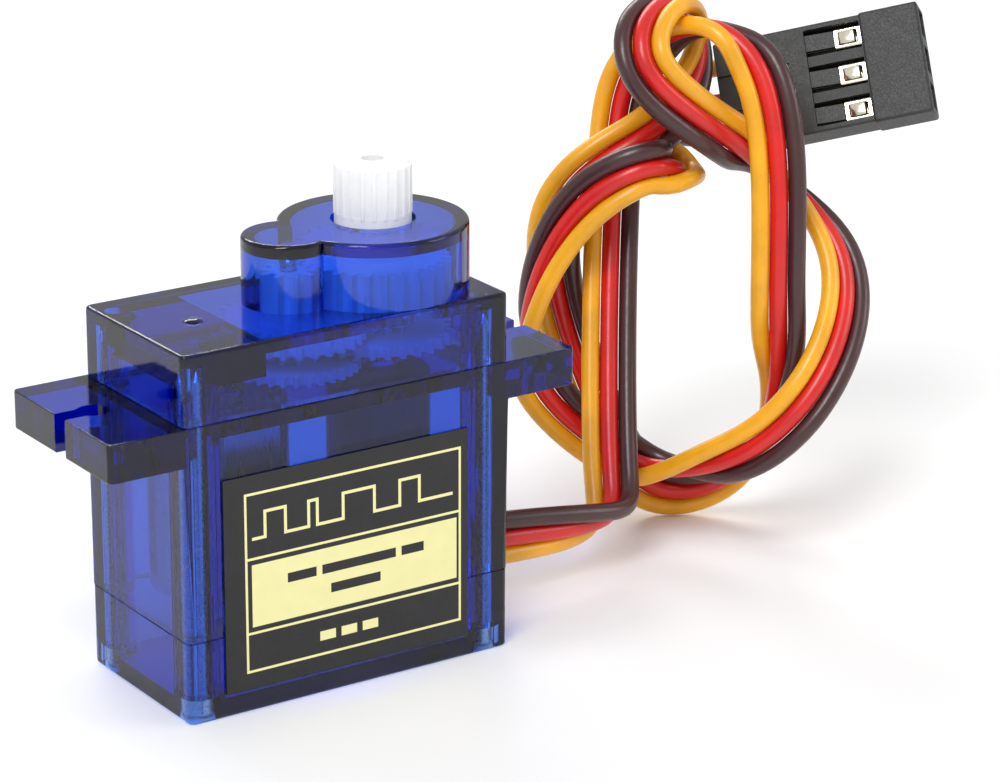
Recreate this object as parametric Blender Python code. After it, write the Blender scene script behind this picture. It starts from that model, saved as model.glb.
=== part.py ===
"""Hobby servo motor with a three-wire lead, as an assembly of its separate pieces.

Frame: origin at the centre of the case's underside, +Z up along the output shaft,
+X towards the end where the lead comes out, -Y the side that carries the label.
All dimensions are in millimetres and are multiplied by MM where Blender takes metres.
"""

import math

import bmesh
import bpy
import numpy as np
from mathutils import Matrix, Vector

MM = 0.001

# Case
CASE_LENGTH = 22.6
CASE_WIDTH = 12.0
CASE_HEIGHT = 23.0
BOTTOM_HEIGHT = 5.2
WALL = 1.0
SEAM = 0.05
CORNER_ROUND = 0.35
EAR_SPAN = 32.4
EAR_TOP = 18.6
EAR_THICKNESS = 2.4
EAR_HOLE_X = 14.0
EAR_HOLE_RADIUS = 1.0
EAR_SLOT_WIDTH = 1.3
DECK_THICKNESS = 1.2
COVER_THICKNESS = 1.0
MOTOR_POCKET_CEILING = 20.6
MOTOR_POCKET_END = -5.4

# Screws at the four corners of the case
SCREW_X = 9.95
SCREW_Y = 4.65
SCREW_RADIUS = 0.5
SCREW_HEAD_RADIUS = 1.0
SCREW_HEAD_DEPTH = 1.4
SCREW_TOP = 21.6
SCREW_SLOT_HALF = (0.65, 0.13)
SCREW_SLOT_DEPTH = 0.7
COLUMN_RADIUS = 1.35

# Boss over the gears
BOSS_TOP = 27.2
BOSS_RADIUS = 5.85
LOBE_RADIUS = 2.85
BOSS_WALL = 0.85

# Axes of the gear train, all parallel to Z at y = 0
OUTPUT_X = 5.4
IDLER_X = -0.6
MOTOR_X = -5.5

# Gear train: teeth and modules
MOTOR_MODULE = 0.245
TRAIN_MODULE = 0.3
MOTOR_PINION_TEETH = 8
GEAR_1_TEETH = 32
GEAR_1_PINION_TEETH = 10
GEAR_2_TEETH = 30
GEAR_2_PINION_TEETH = 12
GEAR_3_TEETH = 28
GEAR_3_PINION_TEETH = 10
OUTPUT_TEETH = 30
PIN_RADIUS = 0.5
RUNNING_FIT = 0.06
# Heights of each gear's wheel and of the pinion on top of it: bottom, step, top
MOTOR_PINION_LEVELS = (18.75, 19.75)
GEAR_1_LEVELS = (18.95, 19.55, 20.55)
GEAR_2_LEVELS = (19.75, 20.4, 21.7)
GEAR_3_LEVELS = (20.75, 21.4, 25.0)
OUTPUT_GEAR_LEVELS = (22.3, 25.0)
GEAR_PIN_TOP = 25.8

# Output shaft
SPLINE_TOP = 31.0
SPLINE_RADIUS = 2.4
HORN_SCREW_RADIUS = 0.7
HORN_SCREW_DEPTH = 4.0
OUTPUT_HUB_RADIUS = 1.05
OUTPUT_HUB_LOW = 18.8
POT_SHAFT_RADIUS = 0.7
POT_SHAFT_TOP = 21.7

# Motor
CAN_RADIUS = 3.9
CAN_FLAT = 3.4
CAN_WALL = 0.4
CAN_BOTTOM = 7.2
CAN_TOP = 17.0
MOTOR_SHAFT_RADIUS = 0.4
MOTOR_SHAFT_TOP = 20.0
MAGNET_LEVELS = (9.0, 15.6)
ARMATURE_LEVELS = (9.3, 15.3)
ARMATURE_RADIUS = 2.35
TERMINAL_Y = 2.2

# Potentiometer under the output shaft
POT_RADIUS = 3.2
POT_BOTTOM = 10.9
POT_TOP = 16.8
WIPER_RADIUS = 2.4
WIPER_LEVELS = (12.1, 12.7)

# Circuit board, standing across the case beside the lead
BOARD_X = 7.2
BOARD_THICKNESS = 0.8
BOARD_HALF_WIDTH = 4.5
BOARD_BOTTOM = 1.4
BOARD_TOP = 9.4

# Label on the -Y side
LABEL_LOW = (-8.9, 1.5)
LABEL_HIGH = (8.2, 15.0)
LABEL_THICKNESS = 0.12

# Lead: three wires side by side
WIRE_DIAMETER = 1.0
WIRE_PITCH = 1.22
WIRE_POINTS = 80
TURN_WEIGHT = 12.0
LEAD_HEIGHT = 4.6
GROMMET_HALF_WIDTH = 0.95
GROMMET_HALF_HEIGHT = 2.15

# Middle wire of the lead, and the direction from it to the yellow wire at each point
LEAD_ROUTE = [
    # inside the case and straight out of it
    ((8.4, 0, 4.6), (0, 0, -1)),
    ((12.5, 0, 4.6), (0, 0, -1)),
    # along the floor, and up at the first corner
    ((20, 0, 4), (0.5, 0.5, -1)),
    ((24, 1, 4), (-0.5, 1, -0.5)),
    ((25.5, 3, 6.5), (-1, 1, 0)),
    # up the left leg, leaning back
    ((31, 10.5, 25), (-1, 0.5, 0)),
    # over the top towards the front
    ((32.5, 10.5, 30.5), (-1, 0.5, 1)),
    ((34, 6, 34), (-1, -1, 0.5)),
    ((36, 1.5, 31.5), (-1, 0.5, 0)),
    # down the right leg
    ((35.5, -1.5, 18), (-1, 0.5, 0)),
    ((36.5, 0, 9), (0.5, 1, 0.5)),
    # along the floor to the left, behind
    ((35.5, 4, 3), (1, 0, -0.5)),
    ((32.5, 7, 2), (0, 0, -1)),
    ((30, 8.5, 5), (-1, 0, -1)),
    # up the rear left
    ((27, 10.5, 14), (-1, 1, -0.5)),
    ((26.5, 10.5, 21.5), (-1, 1, 0.5)),
    ((29, 9, 25), (-0.5, 0.5, 1)),
    ((32.5, 8, 27), (-0.5, 0.5, 1)),
    # round the small loop at the top
    ((36.5, 9, 30.5), (-1, -0.5, 0.5)),
    ((36.5, 9.5, 33.5), (-0.5, -1, 0)),
    ((33, 7.5, 35.5), (0, -1, 0)),
    ((29.5, 5.5, 34.5), (1, -1, 0)),
    ((29, 4, 32), (1, -0.5, 0.5)),
    # behind the right leg and down the outside
    ((34, 3, 27.5), (1, 0, 1)),
    ((38, 3, 24.5), (-0.5, -1, 0.5)),
    ((40.5, -0.5, 20.5), (-1, -0.5, 0)),
    ((39.5, -3.5, 16.5), (-1, 0, 0)),
    ((36, -5, 12), (-1, 0.5, 0.5)),
    ((32.5, -2.5, 7.5), (-0.5, 0.5, 1)),
    # along the bottom to the left, turning over
    ((30, 3.5, 5), (-1, -1, 0)),
    ((28.5, 5.5, 5.5), (-0.5, -0.5, -1)),
    # up the outer left
    ((24.5, 8.5, 9.5), (-1, 0.5, -1)),
    ((23.5, 9.5, 15), (-0.5, -1, 0)),
    ((26, 7, 23), (0.5, -1, -1)),
    # through the middle and back to the connector
    ((30, 4.5, 25.5), (0.5, 0, -1)),
    ((33.5, 7, 24), (1, -0.5, 0)),
    ((34, 10.5, 24.5), (-0.5, 0, 1)),
    ((36.5, 13, 26), (0, 0, 1)),
    ((39, 10.9, 27), (0.2, 0.5, 0.8)),
    ((40.3, 9.6, 27.4), (0.2, 0.5, 0.8)),
]
# The wires fan out to the connector's pitch over the last points of the route
LEAD_SPREAD = [1.0, 1.3, 2.0, 2.08]

# Connector: where the middle wire enters, its long axis and the way down across its rows
CONNECTOR_REAR = (39.7, 10.2, 27.2)
CONNECTOR_AXIS = (0.70, -0.67, 0.25)
CONNECTOR_DOWN = (-0.19, -0.51, -0.84)
CONNECTOR_LENGTH = 14.0
CONNECTOR_WIDTH = 7.7
CONNECTOR_THICKNESS = 2.6
CONTACT_PITCH = 2.54
CAVITY_WIDTH = 1.84
CAVITY_HEIGHT = 1.6
WINDOW_FROM, WINDOW_TO = 6.2, 10.0


def clear_scene():
    for obj in list(bpy.data.objects):
        bpy.data.objects.remove(obj, do_unlink=True)


def material(name, color, roughness, metallic=0.0):
    mat = bpy.data.materials.new(name)
    mat.use_nodes = True
    shader = mat.node_tree.nodes["Principled BSDF"]
    shader.inputs["Base Color"].default_value = (*color, 1.0)
    shader.inputs["Roughness"].default_value = roughness
    shader.inputs["Metallic"].default_value = metallic
    mat.diffuse_color = (*color, 1.0)
    return mat


def finish_object(name, bm, mat=None, parent=None, smooth_angle=35.0):
    """Turn a bmesh in millimetres into an object in metres."""
    bmesh.ops.scale(bm, vec=(MM, MM, MM), verts=bm.verts)
    bmesh.ops.recalc_face_normals(bm, faces=bm.faces)
    mesh = bpy.data.meshes.new(name)
    bm.to_mesh(mesh)
    bm.free()
    mesh.shade_smooth()
    mesh.set_sharp_from_angle(angle=math.radians(smooth_angle))
    obj = bpy.data.objects.new(name, mesh)
    bpy.context.scene.collection.objects.link(obj)
    if mat:
        mesh.materials.append(mat)
    if parent:
        obj.parent = parent
    return obj


def add_helper(name, bm, parent=None):
    """An object that only takes part in a Boolean."""
    obj = finish_object(name, bm, parent=parent)
    obj.hide_render = True
    obj.display_type = "WIRE"
    return obj


def boolean(obj, operation, helper):
    modifier = obj.modifiers.new(helper.name, "BOOLEAN")
    modifier.operation = operation
    modifier.solver = "EXACT"
    modifier.object = helper


def empty(name, location):
    obj = bpy.data.objects.new(name, None)
    obj.location = Vector(location) * MM
    bpy.context.scene.collection.objects.link(obj)
    return obj


def add_prism(bm, outline, low, high, axis="Z"):
    """Extrude a closed outline of (x, y) points from low to high along Z, or (x, z) points along Y."""
    if axis == "Z":
        verts = [bm.verts.new((x, y, low)) for x, y in outline]
        step = (0, 0, high - low)
    else:
        verts = [bm.verts.new((x, low, z)) for x, z in outline]
        step = (0, high - low, 0)
    face = bm.faces.new(verts)
    made = bmesh.ops.extrude_face_region(bm, geom=[face])
    moved = [item for item in made["geom"] if isinstance(item, bmesh.types.BMVert)]
    bmesh.ops.translate(bm, vec=step, verts=moved)


def add_box(bm, low, high):
    outline = [(low[0], low[1]), (high[0], low[1]), (high[0], high[1]), (low[0], high[1])]
    add_prism(bm, outline, low[2], high[2])


def circle(radius, segments, centre=(0.0, 0.0)):
    turns = [2 * math.pi * i / segments for i in range(segments)]
    return [(centre[0] + radius * math.cos(a), centre[1] + radius * math.sin(a)) for a in turns]


def add_cylinder(bm, radius, low, high, segments=24, centre=(0.0, 0.0)):
    add_prism(bm, circle(radius, segments, centre), low, high)


def add_turned(bm, profile, segments=32, centre=(0.0, 0.0)):
    """Turn a profile of (radius, z) points round Z; it starts and ends on the axis."""
    rings = []
    for radius, z in profile:
        if radius == 0:
            rings.append([bm.verts.new((centre[0], centre[1], z))])
        else:
            rings.append([bm.verts.new((x, y, z)) for x, y in circle(radius, segments, centre)])
    for lower, upper in zip(rings, rings[1:]):
        for i in range(segments):
            j = (i + 1) % segments
            ring = [lower[i % len(lower)], lower[j % len(lower)]]
            ring += [upper[j % len(upper)], upper[i % len(upper)]]
            bm.faces.new(list(dict.fromkeys(ring)))


def bevel_upright_edges(bm, width, segments=3):
    edges = []
    for edge in bm.edges:
        along = edge.verts[0].co - edge.verts[1].co
        if abs(along.x) < 1e-6 and abs(along.y) < 1e-6:
            edges.append(edge)
    bmesh.ops.bevel(bm, geom=edges, offset=width, segments=segments, affect="EDGES")


def corners():
    return [(sx * SCREW_X, sy * SCREW_Y) for sx in (-1, 1) for sy in (-1, 1)]


def case_box(low, high):
    bm = bmesh.new()
    half_x = CASE_LENGTH / 2
    half_y = CASE_WIDTH / 2
    add_box(bm, (-half_x, -half_y, low), (half_x, half_y, high))
    bevel_upright_edges(bm, CORNER_ROUND)
    return bm


def cavity_outline():
    """The inside of the case in plan: a rectangle with a screw column left in each corner."""
    inner_x = CASE_LENGTH / 2 - WALL
    inner_y = CASE_WIDTH / 2 - WALL
    start = math.asin((inner_x - SCREW_X) / COLUMN_RADIUS)
    end = math.asin((inner_y - SCREW_Y) / COLUMN_RADIUS)
    quarter = []
    for step in range(7):
        angle = -math.pi / 2 + start - (math.pi / 2 + start + end) * step / 6
        quarter.append((SCREW_X + COLUMN_RADIUS * math.cos(angle), SCREW_Y + COLUMN_RADIUS * math.sin(angle)))
    outline = list(quarter)
    outline += [(-x, y) for x, y in reversed(quarter)]
    outline += [(-x, -y) for x, y in quarter]
    outline += [(x, -y) for x, y in reversed(quarter)]
    return outline


def boss_outline(shrink=0.0, steps=28):
    """The figure that the output circle and the smaller idler lobe make together, in plan."""
    big = BOSS_RADIUS - shrink
    small = LOBE_RADIUS - shrink
    apart = OUTPUT_X - IDLER_X
    reach = (big**2 - small**2 + apart**2) / (2 * apart)
    turn_big = math.acos(reach / big)
    turn_small = math.acos((apart - reach) / small)
    points = []
    for step in range(steps + 1):
        angle = math.pi + turn_big + (2 * math.pi - 2 * turn_big) * step / steps
        points.append((OUTPUT_X + big * math.cos(angle), big * math.sin(angle)))
    small_steps = steps // 3
    for step in range(1, small_steps):
        angle = turn_small + (2 * math.pi - 2 * turn_small) * step / small_steps
        points.append((IDLER_X + small * math.cos(angle), small * math.sin(angle)))
    return points


def screw_clearance(top, counterbore):
    bm = bmesh.new()
    radius = SCREW_RADIUS + 0.1
    for corner in corners():
        if counterbore:
            head = SCREW_HEAD_RADIUS + 0.12
            profile = [(0, -0.5), (head, -0.5), (head, SCREW_HEAD_DEPTH), (radius, SCREW_HEAD_DEPTH)]
            profile += [(radius, top), (0, top)]
            add_turned(bm, profile, 16, corner)
        else:
            add_cylinder(bm, radius, BOTTOM_HEIGHT - 1.6, top, 16, corner)
    return add_helper("screw_clearance_%d" % round(top), bm)


def lead_slot():
    bm = bmesh.new()
    half = GROMMET_HALF_WIDTH + 0.05
    tall = GROMMET_HALF_HEIGHT + 0.05
    inner = CASE_LENGTH / 2 - WALL - 0.6
    add_box(bm, (inner, -half, LEAD_HEIGHT - tall), (CASE_LENGTH / 2 + 1, half, LEAD_HEIGHT + tall))
    return add_helper("lead_slot", bm)


def make_case(blue):
    slot = lead_slot()

    bottom = finish_object("bottom_cover", case_box(0.0, BOTTOM_HEIGHT - SEAM), blue)
    bm = bmesh.new()
    add_prism(bm, cavity_outline(), WALL, BOTTOM_HEIGHT + 1)
    boolean(bottom, "DIFFERENCE", add_helper("bottom_cavity", bm))
    boolean(bottom, "DIFFERENCE", screw_clearance(BOTTOM_HEIGHT + 1, True))
    boolean(bottom, "DIFFERENCE", slot)

    half_x = CASE_LENGTH / 2
    half_y = CASE_WIDTH / 2
    ear_x = EAR_SPAN / 2
    ear_low = EAR_TOP - EAR_THICKNESS
    bm = bmesh.new()
    side = [(-half_x, BOTTOM_HEIGHT), (half_x, BOTTOM_HEIGHT), (half_x, ear_low), (ear_x, ear_low)]
    side += [(ear_x, EAR_TOP), (-ear_x, EAR_TOP), (-ear_x, ear_low), (-half_x, ear_low)]
    add_prism(bm, side, -half_y, half_y, axis="Y")
    bevel_upright_edges(bm, CORNER_ROUND)
    middle = finish_object("middle_case", bm, blue)
    bm = bmesh.new()
    add_prism(bm, cavity_outline(), BOTTOM_HEIGHT - 1, EAR_TOP - DECK_THICKNESS)
    boolean(middle, "DIFFERENCE", add_helper("middle_cavity", bm))
    boolean(middle, "DIFFERENCE", screw_clearance(EAR_TOP + 1, False))
    boolean(middle, "DIFFERENCE", slot)
    bm = bmesh.new()
    deck_low = EAR_TOP - DECK_THICKNESS - 1
    add_cylinder(bm, 1.35, deck_low, EAR_TOP + 1, 24, (MOTOR_X, 0))
    add_cylinder(bm, PIN_RADIUS + 0.05, deck_low, EAR_TOP + 1, 16, (IDLER_X, 0))
    add_cylinder(bm, 1.5, deck_low, EAR_TOP + 1, 24, (OUTPUT_X, 0))
    boolean(middle, "DIFFERENCE", add_helper("deck_holes", bm))
    bm = bmesh.new()
    for side_sign in (-1, 1):
        half_slot = EAR_SLOT_WIDTH / 2
        turn = math.asin(half_slot / EAR_HOLE_RADIUS)
        outline = []
        for step in range(19):
            angle = turn + (2 * math.pi - 2 * turn) * step / 18
            x = EAR_HOLE_X + EAR_HOLE_RADIUS * math.cos(angle)
            outline.append((side_sign * x, EAR_HOLE_RADIUS * math.sin(angle)))
        outline += [(side_sign * (ear_x + 1), -half_slot), (side_sign * (ear_x + 1), half_slot)]
        add_prism(bm, outline, ear_low - 1, EAR_TOP + 1)
    boolean(middle, "DIFFERENCE", add_helper("ear_slots", bm))

    top = finish_object("top_cover", case_box(EAR_TOP + SEAM, CASE_HEIGHT), blue)
    bm = bmesh.new()
    add_prism(bm, boss_outline(), CASE_HEIGHT - 0.5, BOSS_TOP)
    boolean(top, "UNION", add_helper("boss", bm))
    bm = bmesh.new()
    add_cylinder(bm, 0.5, CASE_HEIGHT - 0.3, CASE_HEIGHT + 0.15, 16, (-7.4, -0.4))
    boolean(top, "UNION", add_helper("moulding_pip", bm))
    ceiling = CASE_HEIGHT - COVER_THICKNESS
    bm = bmesh.new()
    add_prism(bm, cavity_outline(), EAR_TOP - 1, MOTOR_POCKET_CEILING)
    boolean(top, "DIFFERENCE", add_helper("cover_cavity", bm))
    bm = bmesh.new()
    inner_x = CASE_LENGTH / 2 - WALL
    inner_y = CASE_WIDTH / 2 - WALL
    clear_x = SCREW_X - COLUMN_RADIUS
    plan = [(MOTOR_POCKET_END, -inner_y), (clear_x, -inner_y), (clear_x, -3.3), (inner_x, -3.3)]
    plan += [(inner_x, 3.3), (clear_x, 3.3), (clear_x, inner_y), (MOTOR_POCKET_END, inner_y)]
    add_prism(bm, plan, EAR_TOP, ceiling)
    boolean(top, "DIFFERENCE", add_helper("gear_cavity", bm))
    bm = bmesh.new()
    add_prism(bm, boss_outline(BOSS_WALL), ceiling - 0.5, BOSS_TOP - COVER_THICKNESS)
    boolean(top, "DIFFERENCE", add_helper("boss_cavity", bm))
    bm = bmesh.new()
    add_cylinder(bm, SPLINE_RADIUS + 0.2, BOSS_TOP - 2, BOSS_TOP + 1, 32, (OUTPUT_X, 0))
    boolean(top, "DIFFERENCE", add_helper("output_hole", bm))
    boolean(top, "DIFFERENCE", screw_clearance(SCREW_TOP + 0.4, False))


def make_screws(steel):
    for number, corner in enumerate(corners(), 1):
        bm = bmesh.new()
        head_top = SCREW_HEAD_DEPTH - 0.05
        profile = [(0, 0.25), (0.8, 0.25), (SCREW_HEAD_RADIUS, 0.5), (SCREW_HEAD_RADIUS, head_top)]
        profile += [(SCREW_RADIUS, head_top), (SCREW_RADIUS, SCREW_TOP - 0.5)]
        profile += [(0.1, SCREW_TOP), (0, SCREW_TOP)]
        add_turned(bm, profile, 16)
        screw = finish_object("case_screw_%d" % number, bm, steel)
        screw.location = Vector((*corner, 0)) * MM
        length, width = SCREW_SLOT_HALF
        for slot, (half_x, half_y) in enumerate(((length, width), (width, length)), 1):
            bm = bmesh.new()
            depth = SCREW_SLOT_DEPTH + 0.01 * slot
            add_box(bm, (-half_x, -half_y, -0.5), (half_x, half_y, depth))
            boolean(screw, "DIFFERENCE", add_helper("screw_%d_slot_%d" % (number, slot), bm, screw))


def gear_outline(teeth, module, phase=0.0):
    """Teeth with straight flanks, thinned a little for backlash."""
    pitch_radius = teeth * module / 2
    quarter = math.pi / 2 / teeth
    flank = [(-1.2, 1.11), (0.0, 0.85), (0.85, 0.45), (0.85, -0.45), (0.0, -0.85), (-1.2, -1.11)]
    points = []
    for tooth in range(teeth):
        middle = phase + 2 * math.pi * tooth / teeth
        for rise, share in reversed(flank):
            angle = middle + share * quarter
            radius = pitch_radius + rise * module
            points.append((radius * math.cos(angle), radius * math.sin(angle)))
    return points


def gap_at_minus_x(teeth):
    """The phase that turns a gap between teeth towards -X."""
    return math.pi + math.pi / teeth


def bore(obj, radius, low, high, parent):
    bm = bmesh.new()
    add_cylinder(bm, radius, low, high, 20)
    boolean(obj, "DIFFERENCE", add_helper(obj.name + "_bore", bm, parent))


def double_gear(name, wheel, pinion, levels, bore_radius, mat, axis):
    """A wheel with a pinion on top of it; levels are the heights of bottom, step and top."""
    low, step, high = levels
    bm = bmesh.new()
    add_prism(bm, wheel, low, step)
    gear = finish_object(name, bm, mat, axis)
    bm = bmesh.new()
    add_prism(bm, pinion, step - 0.2, high)
    boolean(gear, "UNION", add_helper(name + "_upper", bm, axis))
    bore(gear, bore_radius, low - 1, high + 1, axis)


def make_gears(nylon, steel, brass, axes):
    bm = bmesh.new()
    low, high = MOTOR_PINION_LEVELS
    add_prism(bm, gear_outline(MOTOR_PINION_TEETH, MOTOR_MODULE), low, high)
    pinion = finish_object("motor_pinion", bm, brass, axes["motor"])
    bore(pinion, MOTOR_SHAFT_RADIUS + 0.03, low - 1, high + 1, axes["motor"])

    idler_bore = PIN_RADIUS + RUNNING_FIT
    wheel = gear_outline(GEAR_1_TEETH, MOTOR_MODULE, gap_at_minus_x(GEAR_1_TEETH))
    upper = gear_outline(GEAR_1_PINION_TEETH, TRAIN_MODULE)
    double_gear("gear_1", wheel, upper, GEAR_1_LEVELS, idler_bore, nylon, axes["gear_1"])

    wheel = gear_outline(GEAR_2_TEETH, TRAIN_MODULE, gap_at_minus_x(GEAR_2_TEETH))
    upper = gear_outline(GEAR_2_PINION_TEETH, TRAIN_MODULE, gap_at_minus_x(GEAR_2_PINION_TEETH))
    hub_bore = OUTPUT_HUB_RADIUS + RUNNING_FIT
    double_gear("gear_2", wheel, upper, GEAR_2_LEVELS, hub_bore, nylon, axes["gear_2"])

    wheel = gear_outline(GEAR_3_TEETH, TRAIN_MODULE)
    upper = gear_outline(GEAR_3_PINION_TEETH, TRAIN_MODULE)
    double_gear("gear_3", wheel, upper, GEAR_3_LEVELS, idler_bore, nylon, axes["gear_3"])

    axis = axes["output"]
    low, high = OUTPUT_GEAR_LEVELS
    bm = bmesh.new()
    add_prism(bm, gear_outline(OUTPUT_TEETH, TRAIN_MODULE, gap_at_minus_x(OUTPUT_TEETH)), low, high)
    output = finish_object("output_gear", bm, nylon, axis)
    bm = bmesh.new()
    round_top = [(SPLINE_RADIUS, SPLINE_TOP - 0.3), (SPLINE_RADIUS - 0.1, SPLINE_TOP - 0.1)]
    round_top += [(SPLINE_RADIUS - 0.3, SPLINE_TOP), (0, SPLINE_TOP)]
    profile = [(0, OUTPUT_HUB_LOW), (OUTPUT_HUB_RADIUS, OUTPUT_HUB_LOW)]
    profile += [(OUTPUT_HUB_RADIUS, low + 0.2), (SPLINE_RADIUS, low + 0.2)]
    add_turned(bm, profile + round_top, 40)
    boolean(output, "UNION", add_helper("output_shaft", bm, axis))
    bm = bmesh.new()
    add_cylinder(bm, HORN_SCREW_RADIUS, SPLINE_TOP - HORN_SCREW_DEPTH, SPLINE_TOP + 1, 16)
    boolean(output, "DIFFERENCE", add_helper("horn_screw_hole", bm, axis))
    bm = bmesh.new()
    add_cylinder(bm, POT_SHAFT_RADIUS + 0.05, OUTPUT_HUB_LOW - 1, POT_SHAFT_TOP + 0.2, 16)
    boolean(output, "DIFFERENCE", add_helper("output_socket", bm, axis))

    bm = bmesh.new()
    pin_low = EAR_TOP - DECK_THICKNESS + 0.1
    profile = [(0, pin_low), (PIN_RADIUS, pin_low), (PIN_RADIUS, GEAR_PIN_TOP - 0.2)]
    profile += [(PIN_RADIUS - 0.15, GEAR_PIN_TOP), (0, GEAR_PIN_TOP)]
    add_turned(bm, profile, 16, (IDLER_X, 0))
    finish_object("gear_pin", bm, steel)


def can_outline(radius, flat, steps=8):
    """A circle with two flats, at y = flat and y = -flat."""
    turn = math.asin(flat / radius)
    points = []
    for side in (0, math.pi):
        for step in range(steps + 1):
            angle = side - turn + 2 * turn * step / steps
            points.append((radius * math.cos(angle), radius * math.sin(angle)))
    return points


def make_motor(mats, axes):
    axis = axes["motor"]
    bm = bmesh.new()
    add_prism(bm, can_outline(CAN_RADIUS, CAN_FLAT), CAN_BOTTOM, CAN_TOP)
    can = finish_object("motor_can", bm, mats["steel"], axis)
    bm = bmesh.new()
    add_cylinder(bm, 1.15, CAN_TOP - 0.3, CAN_TOP + 1.2)
    boolean(can, "UNION", add_helper("can_bearing", bm, axis))
    bm = bmesh.new()
    inside = can_outline(CAN_RADIUS - CAN_WALL, CAN_FLAT - CAN_WALL)
    add_prism(bm, inside, CAN_BOTTOM - 1, CAN_TOP - CAN_WALL)
    boolean(can, "DIFFERENCE", add_helper("can_inside", bm, axis))
    bore(can, MOTOR_SHAFT_RADIUS + RUNNING_FIT, CAN_TOP - 2, CAN_TOP + 2, axis)

    bm = bmesh.new()
    add_prism(bm, can_outline(CAN_RADIUS - 0.05, CAN_FLAT - 0.05), CAN_BOTTOM - 0.9, CAN_BOTTOM - 0.05)
    cap = finish_object("motor_end_cap", bm, mats["white"], axis)
    bore(cap, MOTOR_SHAFT_RADIUS + RUNNING_FIT, CAN_BOTTOM - 2, CAN_BOTTOM + 1, axis)

    for number, side in enumerate((-1, 1), 1):
        bm = bmesh.new()
        outer = CAN_RADIUS - CAN_WALL - 0.1
        inner = outer - 0.7
        span = math.radians(38)
        arc = [math.pi * (side < 0) - span + 2 * span * step / 8 for step in range(9)]
        outline = [(outer * math.cos(a), outer * math.sin(a)) for a in arc]
        outline += [(inner * math.cos(a), inner * math.sin(a)) for a in reversed(arc)]
        add_prism(bm, outline, *MAGNET_LEVELS)
        finish_object("motor_magnet_%d" % number, bm, mats["magnet"], axis)
        bm = bmesh.new()
        y = side * 1.15
        add_box(bm, (-0.9, y - 0.12, CAN_BOTTOM), (0.9, y + 0.12, CAN_BOTTOM + 1.2))
        finish_object("motor_brush_%d" % number, bm, mats["brass"], axis)
        bm = bmesh.new()
        y = side * TERMINAL_Y
        add_box(bm, (-0.5, y - 0.15, CAN_BOTTOM - 2.0), (0.5, y + 0.15, CAN_BOTTOM - 1.0))
        finish_object("motor_terminal_%d" % number, bm, mats["brass"], axis)

    bm = bmesh.new()
    profile = [(0, CAN_BOTTOM - 0.8), (MOTOR_SHAFT_RADIUS, CAN_BOTTOM - 0.8), (MOTOR_SHAFT_RADIUS, 7.5)]
    profile += [(0.85, 7.5), (0.85, 8.7), (MOTOR_SHAFT_RADIUS, 8.7)]
    profile += [(MOTOR_SHAFT_RADIUS, MOTOR_SHAFT_TOP), (0, MOTOR_SHAFT_TOP)]
    add_turned(bm, profile, 16)
    armature = finish_object("motor_armature", bm, mats["steel"], axis)
    bm = bmesh.new()
    outline = []
    for pole in range(3):
        middle = 2 * math.pi * pole / 3
        for share in (-0.78, -0.5, -0.25, 0, 0.25, 0.5, 0.78):
            angle = middle + share * math.pi / 3
            outline.append((ARMATURE_RADIUS * math.cos(angle), ARMATURE_RADIUS * math.sin(angle)))
        notch = middle + math.pi / 3
        outline.append((1.3 * math.cos(notch), 1.3 * math.sin(notch)))
    add_prism(bm, outline, *ARMATURE_LEVELS)
    boolean(armature, "UNION", add_helper("armature_poles", bm, axis))


def make_potentiometer(mats, axes):
    axis = axes["output"]
    bm = bmesh.new()
    add_cylinder(bm, POT_RADIUS, POT_BOTTOM + 0.7, POT_TOP, 28)
    body = finish_object("potentiometer_body", bm, mats["pot_green"])
    body.location = axis.location
    bm = bmesh.new()
    add_cylinder(bm, POT_RADIUS - 0.5, POT_BOTTOM, POT_TOP - 0.6, 28)
    boolean(body, "DIFFERENCE", add_helper("pot_inside", bm, body))
    bore(body, POT_SHAFT_RADIUS + 0.1, POT_TOP - 2, POT_TOP + 1, body)
    bm = bmesh.new()
    add_cylinder(bm, POT_RADIUS, POT_BOTTOM, POT_BOTTOM + 0.6, 28, (OUTPUT_X, 0))
    finish_object("potentiometer_track", bm, mats["board"])
    bm = bmesh.new()
    low, high = WIPER_LEVELS
    profile = [(0, low), (WIPER_RADIUS, low), (WIPER_RADIUS, high), (POT_SHAFT_RADIUS, high)]
    profile += [(POT_SHAFT_RADIUS, POT_SHAFT_TOP), (0, POT_SHAFT_TOP)]
    add_turned(bm, profile, 20)
    finish_object("potentiometer_wiper", bm, mats["brass"], axis)


def make_board(mats):
    bm = bmesh.new()
    high = (BOARD_X + BOARD_THICKNESS, BOARD_HALF_WIDTH, BOARD_TOP)
    add_box(bm, (BOARD_X, -BOARD_HALF_WIDTH, BOARD_BOTTOM), high)
    finish_object("circuit_board", bm, mats["board"])
    face = BOARD_X - 0.05
    parts = {
        "control_chip": ((face - 1.1, -2.4, 2.6), (face, 2.0, 6.6), "black"),
        "board_capacitor": ((face - 0.8, 2.6, 3.0), (face, 3.8, 5.0), "tan"),
        "board_resistor": ((face - 0.5, 2.7, 6.0), (face, 3.6, 7.6), "black"),
        "board_transistor": ((face - 0.9, -4.2, 5.2), (face, -2.9, 7.4), "black"),
    }
    for name, (low, high, mat) in parts.items():
        bm = bmesh.new()
        add_box(bm, low, high)
        finish_object(name, bm, mats[mat])


def make_label(mats):
    bm = bmesh.new()
    back = -CASE_WIDTH / 2 - 0.03
    low = (LABEL_LOW[0], back - LABEL_THICKNESS, LABEL_LOW[1])
    add_box(bm, low, (LABEL_HIGH[0], back, LABEL_HIGH[1]))
    finish_object("label", bm, mats["black"])


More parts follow.
